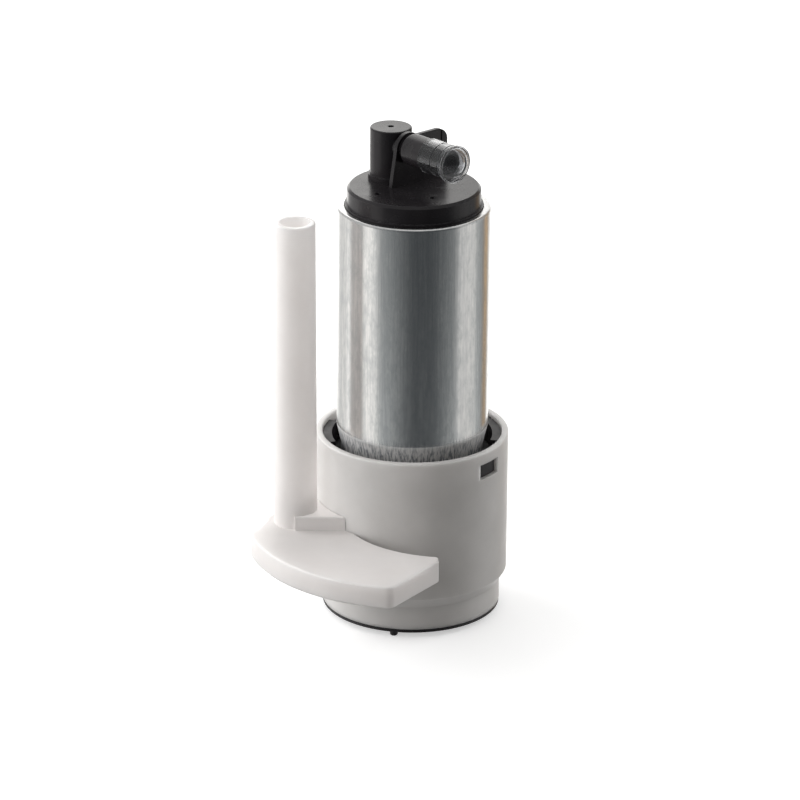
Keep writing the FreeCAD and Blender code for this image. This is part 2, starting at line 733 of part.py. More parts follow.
def make_inlet_plate():
    radius = neck_bore_r - SEAT_FIT
    nipple_end = pouch_top + NIPPLE_ABOVE_POUCH + SEAT_FIT
    body = rod(radius, inlet_z, chamber_z)
    body = body.fuse(rod(NIPPLE_R, nipple_end, inlet_z + CUT_OVER, 0, nipple_y))
    body = body.cut(rod(NIPPLE_BORE_R, nipple_end - CUT_OVER, chamber_z - CHANNEL_DEPTH / 2, 0, nipple_y))
    body = body.cut(channel(chamber_z - CHANNEL_DEPTH, chamber_z + CUT_OVER))
    link_end = compass(180 - CHANNEL_SWEEP_DEG / 2, impeller_r - VANE_DEPTH / 2)
    body = body.cut(rod(VANE_DEPTH / 2, inlet_z + CAN_WALL, chamber_z, link_end.x, link_end.y))
    recess = chamber_z - SHAFT_TAIL - THRUST_GAP
    body = body.cut(rod(SHAFT_R + RUN_FIT + SEAT_FIT, recess, chamber_z + CUT_OVER))
    return body.cut(rod(THRUST_PIN_R + SEAT_FIT, recess - THRUST_PIN_L, chamber_z))


def make_thrust_pin():
    top = chamber_z - SHAFT_TAIL - THRUST_GAP
    return rod(THRUST_PIN_R, top - THRUST_PIN_L, top)


def make_pump_housing():
    radius = neck_bore_r - SEAT_FIT
    body = rod(radius, chamber_z, housing_top)
    body = body.fuse(rod(HOUSING_BOSS_R, housing_top, boss_top))
    body = body.cut(rod(impeller_r + IMPELLER_TIP_GAP, chamber_z, housing_z))
    body = body.cut(channel(housing_z - CUT_OVER, housing_z + CHANNEL_DEPTH))
    outlet = compass(180 + CHANNEL_SWEEP_DEG / 2 - OUTLET_INSET_DEG, impeller_r - VANE_DEPTH / 2)
    body = body.cut(rod(VANE_DEPTH / 2, housing_z, housing_top + CUT_OVER, outlet.x, outlet.y))
    bush_z = boss_top - BUSH_L
    body = body.cut(rod(bush_r + SEAT_FIT, bush_z, boss_top + CUT_OVER))
    return body.cut(rod(SHAFT_R + RUN_FIT + SEAT_FIT, housing_z - CUT_OVER, bush_z + CUT_OVER))


def make_bush(low):
    return ring(SHAFT_R + RUN_FIT, bush_r, low, low + BUSH_L)


def make_impeller():
    low = chamber_z + IMPELLER_END_GAP
    high = low + IMPELLER_T
    body = ring(SHAFT_R, impeller_r, low, high)
    for index in range(VANE_COUNT):
        slot = brick(impeller_r - VANE_DEPTH, impeller_r + CUT_OVER, -VANE_W / 2, VANE_W / 2,
                     low - CUT_OVER, high + CUT_OVER)
        slot.rotate(ORIGIN, UP, index * 360 / VANE_COUNT)
        body = body.cut(slot)
    return body


# The motor
def make_shaft():
    return rod(SHAFT_R, chamber_z - SHAFT_TAIL, holder_top - RUN_FIT)


def winding_slots(fit, low, high):
    """The open slots of the laminated stack, or with a fit taken off, the wire that fills them."""
    width = SLOT_W - 2 * fit
    cut = []
    for index in range(SLOT_COUNT):
        slot = brick(CORE_R + fit, stack_r - SLOT_LIP - fit, -width / 2, width / 2, low, high)
        slot.rotate(ORIGIN, UP, (index + 0.5) * 360 / SLOT_COUNT)
        cut.append(slot)
    return cut


def make_stack():
    body = ring(SHAFT_R, stack_r, stack_z, stack_top)
    body = body.cut(winding_slots(0, stack_z - CUT_OVER, stack_top + CUT_OVER))
    for index in range(SLOT_COUNT):
        mouth = brick(stack_r - 2 * SLOT_LIP, stack_r + CUT_OVER, -SLOT_MOUTH_W / 2, SLOT_MOUTH_W / 2,
                      stack_z - CUT_OVER, stack_top + CUT_OVER)
        mouth.rotate(ORIGIN, UP, (index + 0.5) * 360 / SLOT_COUNT)
        body = body.cut(mouth)
    return body


def make_windings():
    inner = SHAFT_R + SEAT_FIT
    low_head = turned([(inner, stack_z), (head_r, stack_z), (head_r, head_z + HEAD_H / 2),
                       (head_r * HEAD_TAPER, head_z), (inner, head_z)])
    top_head = turned([(inner, stack_top), (head_r, stack_top), (head_r, head_top - HEAD_H / 2),
                       (head_r * HEAD_TAPER, head_top), (inner, head_top)])
    return low_head.fuse([top_head] + winding_slots(SEAT_FIT, stack_z, stack_top)).removeSplitter()


def make_commutator():
    body = ring(SHAFT_R, commutator_r, commutator_z, commutator_top)
    body = body.fuse(ring(SHAFT_R, commutator_r / 2, head_top, commutator_z))
    for index in range(SLOT_COUNT // 2):
        slit = brick(-commutator_r - CUT_OVER, commutator_r + CUT_OVER,
                     -COMMUTATOR_SLIT / 2, COMMUTATOR_SLIT / 2,
                     commutator_top - COMMUTATOR_SLIT_DEPTH, commutator_top + CUT_OVER)
        slit.rotate(ORIGIN, UP, (index + 0.5) * 360 / SLOT_COUNT)
        body = body.cut(slit.cut(rod(bush_r, commutator_z, commutator_top + CUT_OVER)))
    return body.removeSplitter()


def make_magnet(middle):
    half = MAGNET_SWEEP_DEG / 2
    return sector(magnet_bore_r, magnet_r, stack_z - MAGNET_OVER, stack_top + MAGNET_OVER,
                  middle - half, middle + half)


def make_flux_ring():
    reach = MAGNET_OVER + FLUX_RING_OVER
    return ring(magnet_r + SEAT_FIT, can_bore_r - SEAT_FIT, stack_z - reach, stack_top + reach)


def make_magnet_clips():
    """Two bent springs in the gaps between the magnets."""
    clips = []
    for turn in (0, 180):
        middle = turn + 90
        edge = (180 - MAGNET_SWEEP_DEG) / 2 - math.degrees(SEAT_FIT / magnet_bore_r)
        leg = math.degrees(CLIP_T / magnet_bore_r)
        outer = magnet_r - SEAT_FIT
        clip = sector(magnet_r - CLIP_T, outer, stack_z, stack_top, middle - edge, middle + edge)
        for start in (middle - edge, middle + edge - leg):
            clip = clip.fuse(sector(magnet_r - CLIP_W / 2, outer, stack_z, stack_top, start, start + leg))
        clips.append(clip.removeSplitter())
    return Part.makeCompound(clips)


# Brushes, their springs and leads, and the plate that guides them, in the pump frame
def brush_spot(side):
    return Vector(0, side * brush_offset, 0)


def brush_block(side, low, high, fit):
    spot = brush_spot(side)
    width = BRUSH_W / 2 + fit
    depth = BRUSH_D / 2 + fit
    return brick(spot.x - width, spot.x + width, spot.y - depth, spot.y + depth, low, high)


def make_brush(side):
    body = brush_block(side, commutator_top, brush_top, 0)
    return clocked(body.makeChamfer(BRUSH_CHAMFER, [e for e in body.Edges if not is_flat(e)]))


def make_brush_spring(side):
    spot = brush_spot(side)
    return clocked(spring(BRUSH_SPRING_R, BRUSH_WIRE_R, brush_top, brush_well_top, spot.x, spot.y,
                          BRUSH_TRAVEL))


def make_brush_lead(side):
    """The flexible lead in the middle of the spring, from the brush to the top of its well."""
    spot = brush_spot(side)
    return clocked(rod(BRUSH_LEAD_R, brush_top, brush_well_top, spot.x, spot.y))


def make_brush_holder():
    body = rod(can_bore_r - COVER_CAN_FIT, holder_z, holder_top)
    for side in (-1, 1):
        body = body.cut(brush_block(side, holder_z - CUT_OVER, holder_top + CUT_OVER, GUIDE_FIT))
    body = body.cut(rod(bush_r + SEAT_FIT, holder_top - BUSH_L, holder_top + CUT_OVER))
    body = body.cut(rod(SHAFT_R + BUSH_WALL / 2, holder_z - CUT_OVER, holder_top))
    body = body.cut(rod(HOLDER_PORT_R, holder_z - CUT_OVER, holder_top + CUT_OVER, -post_offset, 0))
    body = body.cut(rod(RELIEF_SEAT_BORE_R, holder_z - CUT_OVER, holder_top + CUT_OVER, relief_x, RELIEF_Y))
    return clocked(body)


# The outlet cover: the flange and the drum, with the wells of what sits under it
def cover_drum():
    flange_r = can_bore_r - COVER_CAN_FIT
    drum_r = lip_r - DRUM_INSET
    body = turned([
        (0, holder_top), (flange_r, holder_top), (flange_r, flange_top), (lip_r, flange_top),
        (lip_r, flange_top + COVER_LIP_H), (drum_r, flange_top + COVER_LIP_H),
        (drum_top_r, deck_z - DRUM_BEVEL), (deck_r, deck_z),
        (0, deck_z)])
    middle = holder_top + FLANGE_T / 2
    groove = ring(can_bore_r - 2 * SEAL_WIRE_R - SEAT_FIT, can_bore_r + CUT_OVER,
                  middle - SEAL_GROOVE_H / 2, middle + SEAL_GROOVE_H / 2)
    return body.cut(groove)


def make_outlet_cover():
    def well(radius, high, x, y):
        return rod(radius, holder_top - CUT_OVER, high, x, y)

    cuts = [
        well(CHECK_SEAT_R + SEAT_FIT, check_seat_top, -post_offset, 0),
        well(CHECK_BORE_R, deck_z + CUT_OVER, -post_offset, 0),
        rod(POST_PLUG_R + SEAT_FIT, deck_z - POST_PLUG_H - SEAT_FIT, deck_z + CUT_OVER, -post_offset, 0),
        well(RELIEF_SEAT_R + SEAT_FIT, relief_seat_top, relief_x, RELIEF_Y),
        well(RELIEF_BALL_R + GUIDE_FIT, relief_well_top, relief_x, RELIEF_Y),
        well(VENT_R, deck_z + CUT_OVER, relief_x, RELIEF_Y),
        rod(VENT_R, deck_z - VENT_DEPTH, deck_z + CUT_OVER, VENT_X, vent_y),
        well(SHAFT_R + RUN_FIT + SEAT_FIT, holder_top + RUN_FIT, 0, 0)]
    for side in (-1, 1):
        cuts += [brush_block(side, holder_top - CUT_OVER, brush_well_top, GUIDE_FIT),
                 well(CHOKE_R + SEAT_FIT, holder_top + STRIP_T + CHOKE_L + SEAT_FIT, 0, side * choke_out),
                 terminal_solid(side, SEAT_FIT)]
    body = cover_drum()
    for cut in cuts:
        body = body.cut(cut)
    return clocked(body.removeSplitter())


# The outlet fitting on the cover: valve post, outlet arm, rib and connector socket
def fitting_post():
    post = rod(POST_R, deck_z, post_top, -post_offset, 0)
    post = rounded(post, POST_EDGE_ROUND, lambda p, e: near(p.z, post_top))
    foot = rod(POST_FOOT_R, deck_z, deck_z + POST_FOOT_H, -post_offset, 0)
    plug = rod(POST_PLUG_R, deck_z - POST_PLUG_H, deck_z + CUT_OVER, -post_offset, 0)
    return post.fuse([foot, plug])


def fitting_arm():
    neck = outward(rod(NECK_R, 0, ARM_START + CUT_OVER), outlet_z)
    arm = rod(ARM_R, ARM_START, ARM_END)
    arm = rounded(arm, POST_EDGE_ROUND, lambda p, e: near(p.z, ARM_START))
    tip = rod(SPIGOT_OUT_R, ARM_END - CUT_OVER, SPIGOT_OUT_END)
    rim = [e for e in tip.Edges if near(e.CenterOfMass.z, SPIGOT_OUT_END)]
    tip = tip.makeChamfer(SPIGOT_TIP_CHAMFER, rim)
    return neck.fuse([outward(arm, outlet_z), outward(tip, outlet_z)])


def fitting_rib():
    """The upright rib under the arm's root, widening towards the deck."""
    start = RIB_AT - post_offset
    corners = [Vector(start, -RIB_FOOT_HALF_W, deck_z), Vector(start, RIB_FOOT_HALF_W, deck_z),
               Vector(start, ARM_R, outlet_z), Vector(start, -ARM_R, outlet_z),
               Vector(start, -RIB_FOOT_HALF_W, deck_z)]
    web = Part.Face(Part.makePolygon(corners)).extrude(Vector(RIB_T, 0, 0))
    return web.fuse(outward(rod(ARM_R, RIB_AT, RIB_AT + RIB_T), outlet_z))


def socket_prism(inset, start, end, floor):
    """The socket's section drawn inset from the outside, run from start to end along +Y."""
    near_x = SOCKET_NEAR - post_offset - inset
    far_x = -SOCKET_FAR - post_offset + inset
    top = socket_top - inset
    ridge_x = near_x - SOCKET_FLAT
    far_z = top - (ridge_x - far_x) * math.tan(math.radians(SOCKET_SLOPE_DEG))
    section = Part.makePolygon([
        Vector(near_x, start, floor), Vector(near_x, start, top - SOCKET_EDGE),
        Vector(near_x - SOCKET_EDGE, start, top),
        Vector(ridge_x, start, top), Vector(far_x, start, far_z), Vector(far_x, start, floor),
        Vector(near_x, start, floor)])
    prism = Part.Face(section).extrude(Vector(0, end - start, 0))
    side = brick(far_x - CUT_OVER, near_x + CUT_OVER, start, end, floor, top)
    corner = SOCKET_CORNER - inset
    side = rounded(side, corner, lambda p, e: near(p.z, top) and near(p.y, end))
    return prism.common(side)


def fitting_socket():
    """The connector socket beside the post, open at its far end and lower on its far side."""
    groove_y = socket_end - SOCKET_GROOVE_FROM_END
    outer = socket_prism(0, 0, socket_end, deck_z)
    core = socket_prism(SOCKET_GROOVE, 0, socket_end, deck_z)
    band = brick(-2 * post_offset, post_offset, groove_y, groove_y + SOCKET_GROOVE_W, deck_z, post_top)
    outer = outer.cut(band.cut(core))
    cavity = socket_prism(SOCKET_WALL, SOCKET_BACK, socket_end + CUT_OVER, deck_z + SOCKET_WALL)
    return outer, cavity


def make_outlet_fitting():
    socket, cavity = fitting_socket()
    body = fitting_post().fuse([fitting_arm(), fitting_rib(), socket])
    low = deck_z - POST_PLUG_H - CUT_OVER
    cuts = [
        cavity,
        outward(rod(OUTLET_BORE_R, 0, SPIGOT_OUT_END + CUT_OVER), outlet_z),
        rod(CHECK_BORE_R, low, check_shoulder, -post_offset, 0),
        rod(CHECK_UPPER_BORE_R, low, post_top - POST_ROOF, -post_offset, 0),
        rod(DIMPLE_R, post_top - DIMPLE_DEPTH, post_top + CUT_OVER, -post_offset, 0),
        terminal_solid(-1, SEAT_FIT), terminal_solid(1, SEAT_FIT)]
    for cut in cuts:
        body = body.cut(cut)
    return clocked(body.removeSplitter())


def make_cover_seal():
    middle = holder_top + FLANGE_T / 2
    return Part.makeTorus(can_bore_r - SEAL_WIRE_R - SEAT_FIT / 2, SEAL_WIRE_R, Vector(0, 0, middle), UP)


# Terminals: a blade in the socket, a leg down through the cover, and a strip under it to the choke
def strip_route(side):
    """Points of the strip in the pump frame, from the leg's foot to the choke."""
    leg = (TERMINAL_MIDDLE - post_offset + side * TERMINAL_PITCH / 2, terminal_leg)
    if side > 0:
        return [leg, (leg[0] + STRIP_BEND, choke_out), (0, choke_out)]
    around = post_offset + CHECK_SEAT_R + STRIP_SIDESTEP * STRIP_W
    return [leg, (-around, 0), (leg[0], -choke_out + STRIP_BEND), (0, -choke_out)]


def terminal_solid(side, fit):
    """The whole terminal, grown by a fit when the cover is cut with it."""
    x = TERMINAL_MIDDLE - post_offset + side * TERMINAL_PITCH / 2
    middle = deck_z + TERMINAL_Z
    half_t = TERMINAL_T / 2 + fit
    half_w = TERMINAL_W / 2 + fit
    blade_start = terminal_leg - half_t
    blade = brick(x - half_t, x + half_t, blade_start, terminal_tip, middle - half_w, middle + half_w)
    low = holder_top - (CUT_OVER if fit else 0)
    leg = brick(x - half_t, x + half_t, terminal_leg - half_t, terminal_leg + half_t, low, middle)
    solid = blade.fuse(leg)
    route = strip_route(side)
    half = STRIP_W / 2 + fit
    top = holder_top + STRIP_T + fit
    for (x0, y0), (x1, y1) in zip(route, route[1:]):
        length = math.hypot(x1 - x0, y1 - y0)
        bar = brick(0, length, -half, half, low, top)
        bar.rotate(ORIGIN, UP, math.degrees(math.atan2(y1 - y0, x1 - x0)))
        bar.translate(Vector(x0, y0, 0))
        solid = solid.fuse([bar, rod(half, low, top, x0, y0), rod(half, low, top, x1, y1)])
    return solid.removeSplitter()


def make_terminal(side):
    return clocked(terminal_solid(side, 0))


def make_choke(side):
    low = holder_top + STRIP_T
    return clocked(rod(CHOKE_R, low, low + CHOKE_L, 0, side * choke_out))


# Check valve in the post
def make_check_seat():
    body = ring(CHECK_SEAT_BORE_R, CHECK_SEAT_R, holder_top, check_seat_top)
    body.translate(Vector(-post_offset, 0, 0))
    return clocked(body)


def make_check_poppet():
    disc = rod(CHECK_BORE_R - GUIDE_FIT, check_seat_top, check_disc_top)
    for index in range(CHECK_NOTCH_COUNT):
        notch = brick(CHECK_NOTCH_FROM, CHECK_BORE_R + CUT_OVER, -CHECK_NOTCH_W / 2, CHECK_NOTCH_W / 2,
                      check_seat_top - CUT_OVER, check_disc_top + CUT_OVER)
        notch.rotate(ORIGIN, UP, index * 360 / CHECK_NOTCH_COUNT)
        disc = disc.cut(notch)
    body = disc.fuse(rod(CHECK_STEM_R, check_disc_top, check_disc_top + CHECK_STEM_H)).removeSplitter()
    body.translate(Vector(-post_offset, 0, 0))
    return clocked(body)


def make_check_spring():
    return clocked(spring(CHECK_SPRING_R, CHECK_WIRE_R, check_disc_top, check_shoulder,
                          -post_offset, 0, CHECK_LIFT))


# Relief valve under the deck
def relief_ball_z():
    return relief_seat_top + math.sqrt(RELIEF_BALL_R ** 2 - RELIEF_SEAT_BORE_R ** 2) + RELIEF_BALL_GAP


def make_relief_seat():
    return clocked(ring(RELIEF_SEAT_BORE_R, RELIEF_SEAT_R, holder_top, relief_seat_top, relief_x, RELIEF_Y))


def make_relief_ball():
    return clocked(Part.makeSphere(RELIEF_BALL_R, Vector(relief_x, RELIEF_Y, relief_ball_z())))


def make_relief_spring():
    contact = math.sqrt(RELIEF_BALL_R ** 2 - RELIEF_SPRING_R ** 2)
    low = relief_ball_z() + contact + RELIEF_WIRE_R / 2
    return clocked(spring(RELIEF_SPRING_R, RELIEF_WIRE_R, low, relief_well_top, relief_x, RELIEF_Y,
                          RELIEF_LIFT, RELIEF_TURNS))


# The clear dust cap over the outlet spigot, drawn along Z from the arm's end face
def line(r0, z0, r1, z1):
    """A straight piece of an outline, from radius and height to radius and height."""
    return Part.LineSegment(Vector(r0, 0, z0), Vector(r1, 0, z1)).toShape()


def dome(radius, low, top):
    """The arc of a spherical dome, from its edge to its top on the axis."""
    ball = (radius ** 2 + (top - low) ** 2) / (2 * (top - low))
    half = math.asin(radius / ball) / 2
    middle = Vector(ball * math.sin(half), 0, top - ball + ball * math.cos(half))
    return Part.Arc(Vector(radius, 0, low), middle, Vector(0, 0, top)).toShape()


def make_nozzle_cap():
    bore = SPIGOT_OUT_R + CAP_SEAT_GAP
    outer = bore + CAP_WALL
    tip = SPIGOT_OUT_END - ARM_END + CAP_TIP_GAP
    flange_end = CAP_FLANGE_AT + CAP_FLANGE_T
    groove_z = CAP_FLANGE_AT - CAP_GROOVE_W
    neck = outer - CAP_GROOVE
    top = flange_end + CAP_DOME_H
    dome_in = top - CAP_DOME_WALL
    outline = [
        line(bore, 0, outer, 0), line(outer, 0, outer, groove_z), line(outer, groove_z, neck, groove_z),
        line(neck, groove_z, neck, CAP_FLANGE_AT),
        line(neck, CAP_FLANGE_AT, CAP_FLANGE_R, CAP_FLANGE_AT),
        line(CAP_FLANGE_R, CAP_FLANGE_AT, CAP_FLANGE_R, flange_end),
        line(CAP_FLANGE_R, flange_end, outer, flange_end),
        dome(outer, flange_end, top), line(0, top, 0, dome_in), dome(bore, tip, dome_in),
        line(bore, tip, bore, 0)]
    body = Part.Face(Part.Wire(Part.__sortEdges__(outline))).revolve(ORIGIN, UP, 360)
    for place in CAP_GROOVES_AT:
        groove = ring(neck, outer + CUT_OVER, place - CAP_GROOVE_W / 2, place + CAP_GROOVE_W / 2)
        body = body.cut(groove)
    body.translate(Vector(0, 0, ARM_END))
    return clocked(outward(body, outlet_z))


def main():
    brush_sides = {"a": 1, "b": -1}
    parts = {
        "cup": make_cup(),
        "riser_flange": make_riser_flange(),
        "riser_tube": make_riser_tube(),
        "holder_sleeve": make_holder_sleeve(),
        "damper_ring": make_damper(),
        "base_frame": make_base_frame(),
        "base_mesh": make_base_mesh(),
        "foot_valve": make_foot_valve(),
        "intake_strainer": make_intake_strainer(),
        "strainer_collar": make_strainer_collar(),
        "motor_can": make_can(),
        "inlet_plate": make_inlet_plate(),
        "thrust_pin": make_thrust_pin(),
        "pump_housing": make_pump_housing(),
        "lower_bush": make_bush(boss_top - BUSH_L),
        "upper_bush": make_bush(holder_top - BUSH_L),
        "impeller": make_impeller(),
        "shaft": make_shaft(),
        "lamination_stack": make_stack(),
        "windings": make_windings(),
        "commutator": make_commutator(),
        "magnet_a": make_magnet(0),
        "magnet_b": make_magnet(180),
        "magnet_clips": make_magnet_clips(),
        "flux_ring": make_flux_ring(),
        "brush_holder": make_brush_holder(),
        "outlet_cover": make_outlet_cover(),
        "outlet_fitting": make_outlet_fitting(),
        "cover_seal": make_cover_seal(),
        "check_seat": make_check_seat(),
        "check_poppet": make_check_poppet(),
        "check_spring": make_check_spring(),
        "relief_seat": make_relief_seat(),
        "relief_ball": make_relief_ball(),
        "relief_spring": make_relief_spring(),
        "nozzle_cap": make_nozzle_cap(),
    }
    for name, side in brush_sides.items():
        parts["brush_" + name] = make_brush(side)
        parts["brush_spring_" + name] = make_brush_spring(side)
        parts["brush_lead_" + name] = make_brush_lead(side)
        parts["terminal_" + name] = make_terminal(side)
        parts["choke_" + name] = make_choke(side)
    os.makedirs("parts", exist_ok=True)
    for name, shape in parts.items():
        shape.exportStep("parts/" + name + ".step")
        box = shape.BoundBox
        print(name, len(shape.Solids), "solid, valid", shape.isValid(), "volume", round(shape.Volume, 1),
              "z", round(box.ZMin, 2), round(box.ZMax, 2))


main()
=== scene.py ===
import json
import math
from collections import namedtuple

import bmesh
import bpy
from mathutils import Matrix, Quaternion, Vector

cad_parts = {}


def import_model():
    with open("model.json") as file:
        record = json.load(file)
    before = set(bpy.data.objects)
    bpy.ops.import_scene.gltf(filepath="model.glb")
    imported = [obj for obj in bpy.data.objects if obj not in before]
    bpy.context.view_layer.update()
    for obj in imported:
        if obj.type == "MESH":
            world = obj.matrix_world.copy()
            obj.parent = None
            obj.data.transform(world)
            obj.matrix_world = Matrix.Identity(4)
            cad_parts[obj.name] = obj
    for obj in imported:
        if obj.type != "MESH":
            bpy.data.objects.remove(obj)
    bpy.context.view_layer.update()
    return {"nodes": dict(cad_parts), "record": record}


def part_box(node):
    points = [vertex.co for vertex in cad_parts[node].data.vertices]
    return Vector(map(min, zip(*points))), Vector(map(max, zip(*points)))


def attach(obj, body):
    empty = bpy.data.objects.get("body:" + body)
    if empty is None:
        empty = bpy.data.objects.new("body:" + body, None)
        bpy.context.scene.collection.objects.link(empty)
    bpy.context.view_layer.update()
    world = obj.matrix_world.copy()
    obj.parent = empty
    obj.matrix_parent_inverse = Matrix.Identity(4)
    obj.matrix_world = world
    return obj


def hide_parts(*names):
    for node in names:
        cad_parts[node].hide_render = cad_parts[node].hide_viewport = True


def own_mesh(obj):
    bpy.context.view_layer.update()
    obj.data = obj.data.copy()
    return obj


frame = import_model()

MM = 0.001
UP = Vector((0, 0, 1))
FLOOR_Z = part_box("base_frame")[0].z
WHITE = (1.0, 1.0, 1.0)
OPAQUE = (1.0,)


# Shader building
def feed(owner, socket, value):
    """Joins another node's output to a socket, or sets the socket's own number or colour."""
    if isinstance(value, bpy.types.NodeSocket):
        owner.node_tree.links.new(value, socket)
    elif socket.type == "RGBA":
        socket.default_value = value + OPAQUE
    else:
        socket.default_value = value


def add(owner, kind, sockets=(), **properties):
    """A node in a material or world, with its properties set and then its sockets fed."""
    node = owner.node_tree.nodes.new("ShaderNode" + kind)
    for name, value in properties.items():
        setattr(node, name, value)
    for socket, value in dict(sockets).items():
        feed(owner, node.inputs[socket], value)
    return node


def new_material(name):
    """A material with nodes: one Principled shader, joined to the output."""
    material = bpy.data.materials.new(name)
    material.use_nodes = True
    return material


def coat(material, **looks):
    """Feeds sockets of the material's Principled shader, each named by a keyword."""
    shader = material.node_tree.nodes["Principled BSDF"]
    for key, value in looks.items():
        socket = key.replace("_", " ").title().replace("Ior", "IOR")
        feed(material, shader.inputs[socket], value)


def calculate(material, operation, first, second):
    """What a Math node makes of two values."""
    node = add(material, "Math", {0: first, 1: second}, operation=operation)
    return node.outputs["Value"]


def object_place(material, stretch=(1, 1, 1)):
    """The object's own coordinates in metres, stretched for streaks."""
    place = add(material, "TexCoord").outputs["Object"]
    return add(material, "Mapping", {"Vector": place, "Scale": stretch}).outputs["Vector"]


def height_on(material):
    """The height in the object's own coordinates, in metres."""
    return add(material, "SeparateXYZ", {0: object_place(material)}).outputs["Z"]


def noise(material, scale, detail=3.0, stretch=(1, 1, 1), roughness=0.55):
    """A noise over the object, from 0 to 1. Its scale counts in metres."""
    sockets = {"Vector": object_place(material, stretch), "Scale": scale, "Detail": detail,
               "Roughness": roughness}
    return add(material, "TexNoise", sockets).outputs["Fac"]


# Most values of a noise lie between these two
NOISE_LOW = 0.3
NOISE_HIGH = 0.7


def spread(material, value, low=0.0, high=1.0, start=NOISE_LOW, end=NOISE_HIGH):
    """Maps a value that runs from start to end onto low to high, and holds it there outside."""
    sockets = {"Value": value, "From Min": start, "From Max": end, "To Min": low, "To Max": high}
    return add(material, "MapRange", sockets).outputs["Result"]


# The sockets of the Mix node that take and give colours
MIX_FIRST, MIX_SECOND, MIX_RESULT = 6, 7, 2


def blend_colours(material, factor, first, second):
    """The first colour where the factor is 0 and the second where it is 1."""
    sockets = {"Factor": factor, MIX_FIRST: first, MIX_SECOND: second}
    return add(material, "Mix", sockets, data_type="RGBA").outputs[MIX_RESULT]


def bump(material, value, depth, under=None):
    """The normal that a value raises, by its full depth in metres, on another normal."""
    sockets = {"Distance": depth, "Height": value}
    if under is not None:
        sockets["Normal"] = under
    return add(material, "Bump", sockets).outputs["Normal"]


# Rays that look for an edge at each point
BEVEL_SAMPLES = 4


def soft_edges(material, radius):
    """The normal of a slightly rounded edge."""
    return add(material, "Bevel", {"Radius": radius}, samples=BEVEL_SAMPLES).outputs["Normal"]


# How far a rounded normal agrees with the face's own, in the middle of an edge and beside it
EDGE_MIDDLE = 0.8
EDGE_BESIDE = 0.995


def edge_mask(material, rounded):
    """Rises from 0 on a face to 1 on an edge."""
    plain = add(material, "NewGeometry").outputs["Normal"]
    agreed = add(material, "VectorMath", {0: rounded, 1: plain}, operation="DOT_PRODUCT")
    return spread(material, agreed.outputs["Value"], 1.0, 0.0, EDGE_MIDDLE, EDGE_BESIDE)


# Moulded plastic: the noises of its colour, of its edges' wear and painted highlight, its gloss,
# its waves and its grain
CLOUDS = {"scale": 90.0, "detail": 4.0}
RUBS_AND_GLINTS = {"scale": 700.0, "detail": 2.0}
GLOSS_PATCHES = {"scale": 260.0, "detail": 5.0}
WAVES = {"scale": 160.0, "detail": 2.0}
GRAIN = {"scale": 3500.0, "detail": 2.0}
# How far an edge is lightened, by wear and by a painted highlight, at its least
LEAST_RUB_AND_GLINT = 0.25
# Factors on a plastic's roughness where it is glossiest and dullest
PLASTIC_GLOSSIEST = 0.82
PLASTIC_DULLEST = 1.2

# The riser scatters light only away from where its pieces touch: above its plate, over this rise,
# and on the plate's rim, between these two radii
CLEAR_RISE = 8 * MM
CLEAR_RIM_RADII = (43 * MM, 46.5 * MM)


def off_contacts(material, clear_from):
    """Rises to 1 above the height clear_from and on the outer rim."""
    above = spread(material, height_on(material), 0, 1, clear_from, clear_from + CLEAR_RISE)
    radius = add(material, "VectorMath", {0: object_place(material, (1, 1, 0))}, operation="LENGTH")
    rim = spread(material, radius.outputs["Value"], 0, 1, *CLEAR_RIM_RADII)
    return calculate(material, "MAXIMUM", above, rim)


def moulded(name, dark, light, roughness, grain, edge=None, edge_radius=0.15 * MM, soak=None,
            clear_from=None, ior=1.46, waviness=0.02 * MM):
    """Moulded plastic with uneven colour, edges lightened by wear and by a painted highlight,
    faint waves and a fine grain. Light soaks in as far as soak says."""
    material = new_material(name)
    colour = blend_colours(material, spread(material, noise(material, **CLOUDS)), dark, light)
    rounded = soft_edges(material, edge_radius)
    # The edge colour lightens the edges: partly wear, partly a painted highlight along them
    if edge:
        rub_and_glint = spread(material, noise(material, **RUBS_AND_GLINTS), low=LEAST_RUB_AND_GLINT)
        worn_and_highlit = calculate(material, "MULTIPLY", edge_mask(material, rounded), rub_and_glint)
        colour = blend_colours(material, worn_and_highlit, colour, edge)
    gloss = spread(material, noise(material, **GLOSS_PATCHES), roughness * PLASTIC_GLOSSIEST,
                   roughness * PLASTIC_DULLEST)
    waves = bump(material, noise(material, **WAVES), waviness, rounded)
    coat(material, ior=ior, base_color=colour, roughness=gloss,
         normal=bump(material, noise(material, **GRAIN), grain, waves))
    if soak:
        weight = off_contacts(material, clear_from) if clear_from else 1.0
        coat(material, subsurface_weight=weight, subsurface_radius=(soak, soak, soak),
             subsurface_scale=1.0)
    return material


# The can: where its neck starts, how far the change to it reaches down, and where the wrinkles on
# it are full and where they end
NECK_Z = 54.1 * MM
NECK_BLEND = 0.4 * MM
WRINKLES_FULL_Z = NECK_Z - 2.6 * MM
WRINKLES_END_Z = NECK_Z + 1.5 * MM

# The can's noises: fine and broad streaks along its axis, stains, and the neck's wrinkles
FINE_STREAKS = {"scale": 1.0, "detail": 4.0, "stretch": (1900, 1900, 60), "roughness": 0.7}
BROAD_STREAKS = {"scale": 1.0, "detail": 2.0, "stretch": (330, 330, 9)}
STAINS = {"scale": 520.0, "detail": 5.0, "stretch": (1, 1, 0.4), "roughness": 0.65}
WRINKLES = {"scale": 1.0, "detail": 2.0, "stretch": (1900, 1900, 110)}

# The can's colours; the last is painted shade in the neck's wrinkles
STEEL_DULL = (0.53, 0.53, 0.53)
STEEL_BRIGHT = (0.67, 0.665, 0.65)
STEEL_STAIN = (0.45, 0.46, 0.46)
STEEL_NECK = (0.68, 0.675, 0.67)
STEEL_WRINKLE_SHADE = (0.26, 0.27, 0.29)

